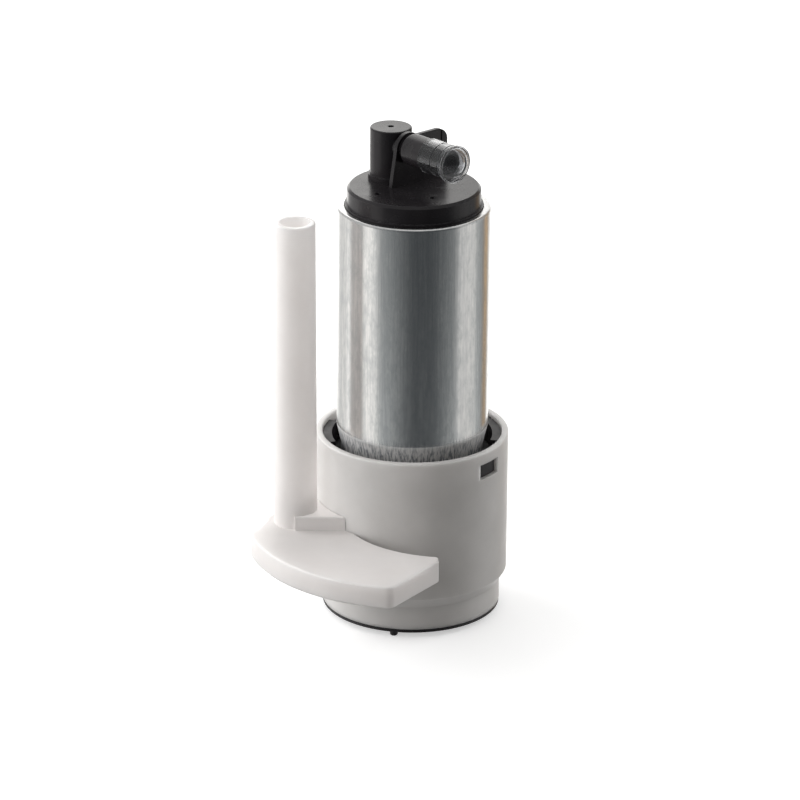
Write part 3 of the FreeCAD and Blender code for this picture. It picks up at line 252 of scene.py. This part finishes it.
# How metallic the neck is, how rough the can is, how much rougher the neck is, the can's rounded
# edges, and the depths of its streaks and wrinkles
NECK_METALLIC = 0.4
STEEL_ROUGHNESS = (0.16, 0.26)
NECK_ROUGHER = 0.3
STEEL_EDGE_RADIUS = 0.2 * MM
BROAD_DEPTH = 0.006 * MM
FINE_DEPTH = 0.0025 * MM
WRINKLE_DEPTH = 0.05 * MM


def drawn_steel():
    """The can's bright satin steel, streaked along its axis and wrinkled where it is necked in.
    The wrinkles are darkened with painted shade.
    """
    material = new_material("can_steel")
    fine = noise(material, **FINE_STREAKS)
    broad = noise(material, **BROAD_STREAKS)
    stains = noise(material, **STAINS)
    streaks = calculate(material, "ADD",
                        spread(material, fine, low=-0.5, high=0.5, start=0.35, end=0.65),
                        spread(material, broad, low=0.15, high=0.85))
    colour = blend_colours(material, streaks, STEEL_DULL, STEEL_BRIGHT)
    stained = spread(material, stains, high=0.8, start=0.42, end=0.66)
    colour = blend_colours(material, stained, colour, STEEL_STAIN)

    height = height_on(material)
    necked = spread(material, height, 1.0, 0.0, NECK_Z - NECK_BLEND, NECK_Z)
    colour = blend_colours(material, necked, colour, STEEL_NECK)
    # Painted shade: the neck's wrinkles are darkened to a bluish grey, besides their bump
    wrinkles_and_shade = calculate(material, "MULTIPLY",
                         spread(material, height, 1.0, 0.0, WRINKLES_FULL_Z, WRINKLES_END_Z),
                         spread(material, noise(material, **WRINKLES), start=0.42, end=0.62))
    colour = blend_colours(material, wrinkles_and_shade, colour, STEEL_WRINKLE_SHADE)

    roughness = calculate(material, "ADD", spread(material, stains, *STEEL_ROUGHNESS),
                          spread(material, necked, 0.0, NECK_ROUGHER, 0.0, 1.0))
    normal = bump(material, broad, BROAD_DEPTH, soft_edges(material, STEEL_EDGE_RADIUS))
    normal = bump(material, wrinkles_and_shade, WRINKLE_DEPTH, normal)
    coat(material, metallic=spread(material, necked, 1.0, NECK_METALLIC, 0.0, 1.0),
         base_color=colour, roughness=roughness, normal=bump(material, fine, FINE_DEPTH, normal))
    return material


# Other metals: their patches of gloss, and factors on their roughness
METAL_PATCHES = {"scale": 300.0}
METAL_GLOSSIEST = 0.8
METAL_DULLEST = 1.25
METAL_EDGE_RADIUS = 0.08 * MM


def metal(name, dark, light, roughness, scale=900.0, stretch=(1, 1, 1), depth=0.004 * MM):
    """Plain turned or drawn metal."""
    material = new_material(name)
    grain = noise(material, scale, stretch=stretch)
    gloss = spread(material, noise(material, **METAL_PATCHES), roughness * METAL_GLOSSIEST,
                   roughness * METAL_DULLEST)
    coat(material, metallic=1.0, roughness=gloss,
         base_color=blend_colours(material, spread(material, grain), dark, light),
         normal=bump(material, grain, depth, soft_edges(material, METAL_EDGE_RADIUS)))
    return material


# The clear dust cap
CAP_CLOUDS = {"scale": 260.0}
CAP_PATCHES = {"scale": 500.0}
CAP_WAVES = {"scale": 240.0, "detail": 2.0}
CAP_DARK = (0.42, 0.425, 0.44)
CAP_LIGHT = (0.52, 0.525, 0.535)
CAP_ROUGHNESS = (0.015, 0.05)
CAP_EDGE_RADIUS = 0.15 * MM
CAP_DEPTH = 0.004 * MM


def clear_cap():
    """Smoky clear plastic with a soft surface."""
    material = new_material("cap_clear")
    clouds = spread(material, noise(material, **CAP_CLOUDS))
    rounded = soft_edges(material, CAP_EDGE_RADIUS)
    coat(material, transmission_weight=0.97, ior=1.48,
         base_color=blend_colours(material, clouds, CAP_DARK, CAP_LIGHT),
         roughness=spread(material, noise(material, **CAP_PATCHES), *CAP_ROUGHNESS),
         normal=bump(material, noise(material, **CAP_WAVES), CAP_DEPTH, rounded))
    return material


# The net and the pouch; the dark colour is painted shade in the weave's hollows
NET_HOLLOW_SHADE = (0.42, 0.4, 0.34)
NET_LIGHT = (0.8, 0.78, 0.72)
WEAVE_PITCH = 0.35 * MM
WEAVE_DEPTH = 0.08 * MM
# Bands that a wave texture of scale 1 shows on each metre
WAVE_BANDS = 3.2


def woven():
    """A fine weave in space, for the net's threads and the pouch.
    Its hollows are darkened with painted shade.
    """
    material = new_material("net")
    crossing = []
    for direction in ("X", "Y"):
        sockets = {"Vector": object_place(material), "Scale": 1.0 / WEAVE_PITCH / WAVE_BANDS}
        wave = add(material, "TexWave", sockets, bands_direction=direction, wave_profile="SIN")
        crossing.append(wave.outputs["Fac"])
    weave = calculate(material, "MAXIMUM", *crossing)
    # Painted shade: the weave is darker where it is low, in its hollows
    raised = spread(material, weave, start=0.2, end=0.9)
    coat(material, base_color=blend_colours(material, raised, NET_HOLLOW_SHADE, NET_LIGHT),
         roughness=0.75, sheen_weight=0.3, normal=bump(material, weave, WEAVE_DEPTH))
    return material


# Every material slot's own looks
BLACK = (0.0105, 0.0092, 0.0108)
CHARCOAL = (0.022, 0.0195, 0.021)
# A plastic's edge colour stands for wear and for a painted highlight along its edges
PLASTICS = {
    "cup_plastic": dict(dark=(0.58, 0.566, 0.553), light=(0.63, 0.615, 0.602), roughness=0.42,
                        grain=0.004 * MM, edge=(0.74, 0.72, 0.7), soak=4 * MM),
    "riser_plastic": dict(dark=(0.755, 0.727, 0.713), light=(0.795, 0.767, 0.753), roughness=0.46,
                          grain=0.004 * MM, edge=(0.85, 0.825, 0.81), edge_radius=0.02 * MM,
                          soak=5 * MM, clear_from=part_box("riser_flange")[1].z),
    "black_gloss": dict(dark=BLACK, light=CHARCOAL, roughness=0.25, grain=0.006 * MM,
                        edge=(0.11, 0.11, 0.115), ior=1.31, waviness=0.045 * MM),
    "black_satin": dict(dark=BLACK, light=CHARCOAL, roughness=0.48, grain=0.008 * MM,
                        edge=(0.08, 0.08, 0.082), ior=1.31),
    "rubber": dict(dark=(0.012, 0.012, 0.012), light=(0.02, 0.02, 0.019), roughness=0.75,
                   grain=0.015 * MM),
    "magnet": dict(dark=(0.045, 0.045, 0.05), light=(0.075, 0.075, 0.08), roughness=0.6,
                   grain=0.012 * MM),
    "carbon": dict(dark=(0.02, 0.02, 0.021), light=(0.04, 0.04, 0.042), roughness=0.5,
                   grain=0.012 * MM),
    "tan_plastic": dict(dark=(0.2, 0.14, 0.08), light=(0.28, 0.2, 0.12), roughness=0.5,
                        grain=0.008 * MM),
}
METALS = {
    "steel": dict(dark=(0.42, 0.42, 0.42), light=(0.62, 0.62, 0.61), roughness=0.28),
    "spring_steel": dict(dark=(0.32, 0.32, 0.33), light=(0.5, 0.5, 0.5), roughness=0.3),
    "copper": dict(dark=(0.42, 0.13, 0.05), light=(0.72, 0.3, 0.14), roughness=0.3, scale=2600.0,
                   stretch=(1, 1, 0.1), depth=0.06 * MM),
    "brass": dict(dark=(0.55, 0.38, 0.14), light=(0.75, 0.56, 0.26), roughness=0.3),
}
MATERIALS = {"cap_clear": clear_cap(), "can_steel": drawn_steel(), "net": woven()}
MATERIALS.update((name, moulded(name, **looks)) for name, looks in PLASTICS.items())
MATERIALS.update((name, metal(name, **looks)) for name, looks in METALS.items())

# Each node gets the material of its slot
SLOTS = {part["node"]: part["material_slot"] for part in frame["record"]["subparts"]}
for node, slot in SLOTS.items():
    mesh = frame["nodes"][node].data
    mesh.materials.clear()
    mesh.materials.append(MATERIALS[slot])


# Object building
def put(name, data):
    """A new object in the scene."""
    made = bpy.data.objects.new(name, data)
    bpy.context.scene.collection.objects.link(made)
    return made


def finished(shape, name):
    """The mesh data of a bmesh, which is freed."""
    data = bpy.data.meshes.new(name)
    shape.to_mesh(data)
    shape.free()
    return data


def turn_to(made, direction, axis="-Z"):
    """Turns an object so that its axis points in the direction."""
    made.rotation_mode = "QUATERNION"
    made.rotation_quaternion = direction.to_track_quat(axis, "Y")


def net_piece(shape, name, node):
    """A smooth piece of net on the pump unit, in the place of a node."""
    bmesh.ops.recalc_face_normals(shape, faces=shape.faces)
    data = finished(shape, name)
    for face in data.polygons:
        face.use_smooth = True
    data.materials.append(MATERIALS["net"])
    piece = put(name, data)
    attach(piece, "pump_unit")
    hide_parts(node)
    return piece


# Springs and brush leads, which shorten as their joints move
def yielding(node):
    """A copy of a node, attached to the pump unit in the place of the node, which is hidden."""
    piece = put(node + "_live", frame["nodes"][node].data.copy())
    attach(piece, "pump_unit")
    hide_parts(node)
    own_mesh(piece)


for joint in frame["record"]["behaviour"]["joints"]:
    for given in joint.get("deforming_nodes", ()):
        yielding(given["node"])


# The net under the cup, thread by thread
NET_PITCH = 1.25 * MM
NET_THREAD_R = 0.075 * MM
# How far the threads rise and dip, as a share of the room in the node's height
NET_RISE = 0.5
THREAD_SIDES = 6
THREAD_STEPS_A_WAVE = 4
THREAD_STEPS_MIN = 8


def thread(shape, start, end, phase, lift):
    """One thread of the net, as a tube that rises and dips."""
    span = end - start
    along = span.normalized()
    side = Vector((-along.y, along.x, 0))
    count = max(THREAD_STEPS_MIN, round(span.length / NET_PITCH * THREAD_STEPS_A_WAVE))
    rings = []
    for index in range(count + 1):
        share = index / count
        angle = math.pi * (span.length * (share - 0.5) / NET_PITCH + phase)
        centre = start + span * share + UP * (lift * math.cos(angle))
        ring = []
        for corner in range(THREAD_SIDES):
            turn = corner * 2 * math.pi / THREAD_SIDES
            out = side * (NET_THREAD_R * math.cos(turn)) + UP * (NET_THREAD_R * math.sin(turn))
            ring.append(shape.verts.new(centre + out))
        rings.append(ring)
    for first, second in zip(rings, rings[1:]):
        for corner in range(THREAD_SIDES):
            following = (corner + 1) % THREAD_SIDES
            shape.faces.new((first[corner], first[following], second[following], second[corner]))
    shape.faces.new(tuple(reversed(rings[0])))
    shape.faces.new(tuple(rings[-1]))


def base_net():
    """Threads both ways across the node's disc, each over and under in turn."""
    low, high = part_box("base_mesh")
    radius = (high.x - low.x) / 2
    height = (low.z + high.z) / 2
    lift = ((high.z - low.z) / 2 - NET_THREAD_R) * NET_RISE
    shape = bmesh.new()
    count = int(radius / NET_PITCH)
    for index in range(-count, count + 1):
        across = index * NET_PITCH
        reach = math.sqrt(max(radius ** 2 - across ** 2, 0)) - NET_THREAD_R
        if reach < NET_PITCH:
            continue
        thread(shape, Vector((-reach, across, height)), Vector((reach, across, height)),
               index % 2, lift)
        thread(shape, Vector((across, -reach, height)), Vector((across, reach, height)),
               (index + 1) % 2, lift)
    net_piece(shape, "base_net", "base_mesh")


# The strainer pouch in the sump, pillowed and welded round its rim
POUCH_RIM = 1.6 * MM
POUCH_SEGMENTS = 72
POUCH_RINGS = 14
# Half the rim's thickness, and the share of the node's half height at the centre and round it
POUCH_FILM = 0.12 * MM
POUCH_CENTRE = 0.95
POUCH_CROWN = 0.93
# How flat the crown is, and the ripples that grow towards the rim
POUCH_FLATNESS = 6
POUCH_RIPPLE = 0.05
POUCH_RIPPLES = 9


def pouch_ring(shape, centre, side, half, radius, share):
    """One ring of corners on a side of the pouch, at a share of the radius."""
    reach = radius * share
    crown = max(0.0, 1 - (reach / (radius - POUCH_RIM)) ** POUCH_FLATNESS)
    ring = []
    for segment in range(POUCH_SEGMENTS):
        angle = segment * 2 * math.pi / POUCH_SEGMENTS
        ripple = POUCH_RIPPLE * math.sin(angle * POUCH_RIPPLES) * share ** 2
        height = side * (half * crown * (POUCH_CROWN + ripple) + POUCH_FILM)
        out = Vector((reach * math.cos(angle), reach * math.sin(angle), height))
        ring.append(shape.verts.new(centre + out))
    return ring


def strainer_pouch():
    """Two pillowed sides from a centre each out to the welded rim."""
    low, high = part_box("intake_strainer")
    centre = (low + high) / 2
    radius = (high.x - low.x) / 2
    half = (high.z - low.z) / 2
    shape = bmesh.new()
    rims = []
    for side in (1, -1):
        inner = [shape.verts.new(centre + UP * (side * half * POUCH_CENTRE))] * POUCH_SEGMENTS
        for step in range(1, POUCH_RINGS + 1):
            outer = pouch_ring(shape, centre, side, half, radius, step / POUCH_RINGS)
            for segment in range(POUCH_SEGMENTS):
                following = (segment + 1) % POUCH_SEGMENTS
                corners = (inner[segment], outer[segment], outer[following], inner[following])
                # The centre is one corner, which a face has only once
                shape.faces.new(tuple(dict.fromkeys(corners)))
            inner = outer
        rims.append(inner)
    upper, lower = rims
    for segment in range(POUCH_SEGMENTS):
        following = (segment + 1) % POUCH_SEGMENTS
        shape.faces.new((upper[segment], lower[segment], lower[following], upper[following]))
    net_piece(shape, "strainer_pouch", "intake_strainer")


base_net()
strainer_pouch()


# The floor, which catches shadows and isn't seen in reflections
FLOOR_SIZE = 12
FLOOR_DARK = (0.8, 0.8, 0.8)
FLOOR_LIGHT = (0.82, 0.82, 0.82)
FLOOR_CLOUD_SCALE = 6.0
FLOOR_GLOW = 0.45


def floor():
    """A unit square, scaled to the floor's size."""
    shape = bmesh.new()
    bmesh.ops.create_grid(shape, x_segments=1, y_segments=1, size=0.5)
    plane = put("floor", finished(shape, "floor"))
    plane.scale = (FLOOR_SIZE, FLOOR_SIZE, 1)
    plane.location = (0, 0, FLOOR_Z)
    turn_to(plane, UP, "Z")
    material = new_material("floor_white")
    tone = spread(material, noise(material, FLOOR_CLOUD_SCALE))
    coat(material, base_color=blend_colours(material, tone, FLOOR_DARK, FLOOR_LIGHT), roughness=0.9,
         emission_color=WHITE, emission_strength=FLOOR_GLOW)
    plane.data.materials.append(material)
    plane.visible_glossy = False
    plane.visible_diffuse = False


# The lights. Each: its azimuth and elevation in degrees, its distance and size in metres, and its
# power in watts.
LIGHT_AIM = Vector((0, 0, 60 * MM))
LIGHTS = {
    "light_left": (-84, 18, 1.3, (1.1, 1.2), 13),
    "light_front_left": (-48, 16, 1.3, (0.7, 0.7), 3),
    "light_right_back": (112, 18, 1.3, (0.7, 1.1), 9),
    "light_left_back": (-125, 18, 1.3, (0.7, 1.1), 10),
    "light_back": (180, 40, 1.5, (1.8, 0.9), 6),
}
# The translucent tube doesn't shade what is behind it from these
THROUGH_TUBE = ("light_left", "light_left_back")


def around(azimuth, distance, z):
    """A point at an azimuth counted from the camera's side towards +X."""
    angle = math.radians(azimuth)
    return Vector((distance * math.sin(angle), -distance * math.cos(angle), z))


def soft_light(name, azimuth, elevation, distance, size, power):
    """A rectangular area light that faces the pump."""
    data = bpy.data.lights.new(name, "AREA")
    data.shape = "RECTANGLE"
    data.size, data.size_y = size
    data.energy = power
    light = put(name, data)
    angle = math.radians(elevation)
    light.location = LIGHT_AIM + around(azimuth, distance * math.cos(angle),
                                        distance * math.sin(angle))
    turn_to(light, LIGHT_AIM - light.location)
    light.visible_camera = False
    return light


def let_through(lights, node):
    """The node casts no shadow from these lights."""
    clear = bpy.data.collections.new("let_through")
    clear.objects.link(frame["nodes"][node])
    for entry in clear.collection_objects:
        entry.light_linking.link_state = "EXCLUDE"
    for light in lights:
        light.light_linking.blocker_collection = clear


# A round wall of soft panels that only glossy and clear surfaces see
WALL_R = 0.8
WALL_CORNERS = 96
WALL_Z = (-0.75, 0.95)
WALL_DARK = (0.075, 0.082, 0.088)
WARM_WHITE = (1.0, 0.985, 0.96)
COOL_WHITE = (0.96, 1.0, 1.0)
AMBER = (1.0, 0.66, 0.33)
# Each panel: the azimuths of its two sides in degrees, how soft each side is, its brightness at the
# wall's foot, at table height and overhead, and its colour
Panel = namedtuple("Panel", "left right soft_left soft_right foot table overhead colour")
PANELS = (
    Panel(-182, -150, 1, 8, 0.5, 2.2, 2.2, WARM_WHITE),
    Panel(-150, -112, 16, 8, 0.9, 0.9, 0.4, WARM_WHITE),
    Panel(-116, -88, 6, 6, 1.4, 0.9, 0.4, WARM_WHITE),
    Panel(-88, -56, 5, 7, 1.2, 1.2, 0.45, WARM_WHITE),
    Panel(-57, -26, 8, 30, 0.66, 0.26, 0.1, COOL_WHITE),
    Panel(-30, 55, 25, 25, 0.06, 0.0, 0.0, COOL_WHITE),
    Panel(48, 72, 26, 5, 0.44, 0.16, 0.1, COOL_WHITE),
    Panel(70, 106, 5, 8, 0.85, 0.85, 0.5, WARM_WHITE),
    Panel(106, 128, 8, 8, 0.55, 0.35, 0.2, COOL_WHITE),
    Panel(130, 146, 5, 5, 0.3, 0.55, 0.3, AMBER),
    Panel(150, 182, 7, 1, 1.7, 1.4, 1.4, WARM_WHITE),
)
# Heights between which a panel goes from its brightness at the foot to that at table height, and
# from there to that overhead
WALL_FOOT_Z = (-0.31, -0.17)
WALL_OVERHEAD_Z = (0.0, 0.2)
# The overhead brightness counts as a share of that at table height, which is taken as this or more
LEAST_TABLE = 0.01


def panel_side(material, azimuth, at, soft, before, after):
    """A soft step at one side of a panel, from one value to another."""
    at = math.radians(at)
    soft = math.radians(soft)
    sockets = {"Value": azimuth, "From Min": at - soft, "From Max": at + soft, "To Min": before,
               "To Max": after}
    return add(material, "MapRange", sockets, interpolation_type="SMOOTHSTEP").outputs["Result"]


def wall_light():
    """The wall's glow: a dark ground and every panel's light on it."""
    material = new_material("wall_light")
    material.node_tree.nodes.clear()
    material.cycles.emission_sampling = "NONE"
    place = add(material, "TexCoord").outputs["Object"]
    x, y, z = add(material, "SeparateXYZ", {0: place}).outputs
    azimuth = calculate(material, "ARCTAN2", x, calculate(material, "MULTIPLY", y, -1))
    total = WALL_DARK
    for panel in PANELS:
        rise = panel_side(material, azimuth, panel.left, panel.soft_left, 0, 1)
        fall = panel_side(material, azimuth, panel.right, panel.soft_right, 1, 0)
        low = spread(material, z, panel.foot, panel.table, *WALL_FOOT_Z)
        high = spread(material, z, 1, panel.overhead / max(panel.table, LEAST_TABLE),
                      *WALL_OVERHEAD_Z)
        weight = calculate(material, "MULTIPLY", calculate(material, "MULTIPLY", rise, fall),
                           calculate(material, "MULTIPLY", low, high))
        tinted = add(material, "VectorMath", {0: panel.colour, "Scale": weight}, operation="SCALE")
        total = add(material, "VectorMath", {0: total, 1: tinted.outputs["Vector"]},
                    operation="ADD").outputs["Vector"]
    glow = add(material, "Emission", {"Color": total})
    add(material, "OutputMaterial", {"Surface": glow.outputs[0]})
    return material


def studio_wall():
    """The wall itself, a ring round the pump."""
    shape = bmesh.new()
    lower, upper = ([shape.verts.new(around(360 * index / WALL_CORNERS, WALL_R, z))
                     for index in range(WALL_CORNERS)] for z in WALL_Z)
    for index in range(WALL_CORNERS):
        following = (index + 1) % WALL_CORNERS
        shape.faces.new((lower[index], lower[following], upper[following], upper[index]))
    wall = put("studio_wall", finished(shape, "studio_wall"))
    wall.data.materials.append(wall_light())
    wall.visible_camera = False
    wall.visible_diffuse = False
    wall.visible_shadow = False
    wall.visible_volume_scatter = False


# What the world shows to each kind of ray, the first line to all that the others leave
WORLD_PARTS = (
    ("", (1.0, 0.985, 0.965), 0.27),
    ("Is Glossy Ray", WHITE, 0.8),
    ("Is Camera Ray", WHITE, 1.0),
)


def world():
    """A white surround, with a strength of its own for each kind of ray."""
    sky = bpy.data.worlds.new("studio_world")
    bpy.context.scene.world = sky
    sky.use_nodes = True
    sky.node_tree.nodes.clear()
    rays = add(sky, "LightPath").outputs
    shown = None
    for kind, colour, strength in WORLD_PARTS:
        part = add(sky, "Background", {"Color": colour, "Strength": strength}).outputs[0]
        if kind:
            part = add(sky, "MixShader", {0: rays[kind], 1: shown, 2: part}).outputs[0]
        shown = part
    add(sky, "OutputWorld", {"Surface": shown})


# The camera, at the photograph's angle
CAMERA_PLACE = Vector((-3.5, -1186.0, 528.7)) * MM
CAMERA_AIM = Vector((-3.5, 0.0, 59.83)) * MM
CAMERA_ROLL_DEG = 0.415
CAMERA_NEAREST = 0.05
SENSOR = 36.0
LENS = 202.5


def camera():
    data = bpy.data.cameras.new("photo_camera")
    data.sensor_width = SENSOR
    data.lens = LENS
    data.clip_start = CAMERA_NEAREST
    view = put("photo_camera", data)
    view.location = CAMERA_PLACE
    turn_to(view, CAMERA_AIM - CAMERA_PLACE)
    roll = Quaternion(UP, math.radians(CAMERA_ROLL_DEG))
    view.rotation_quaternion = view.rotation_quaternion @ roll
    bpy.context.scene.camera = view


floor()
studio_wall()
lights = {name: soft_light(name, *values) for name, values in LIGHTS.items()}
let_through([lights[name] for name in THROUGH_TUBE], "riser_tube")
world()
camera()
bpy.context.scene.view_settings.view_transform = "Standard"
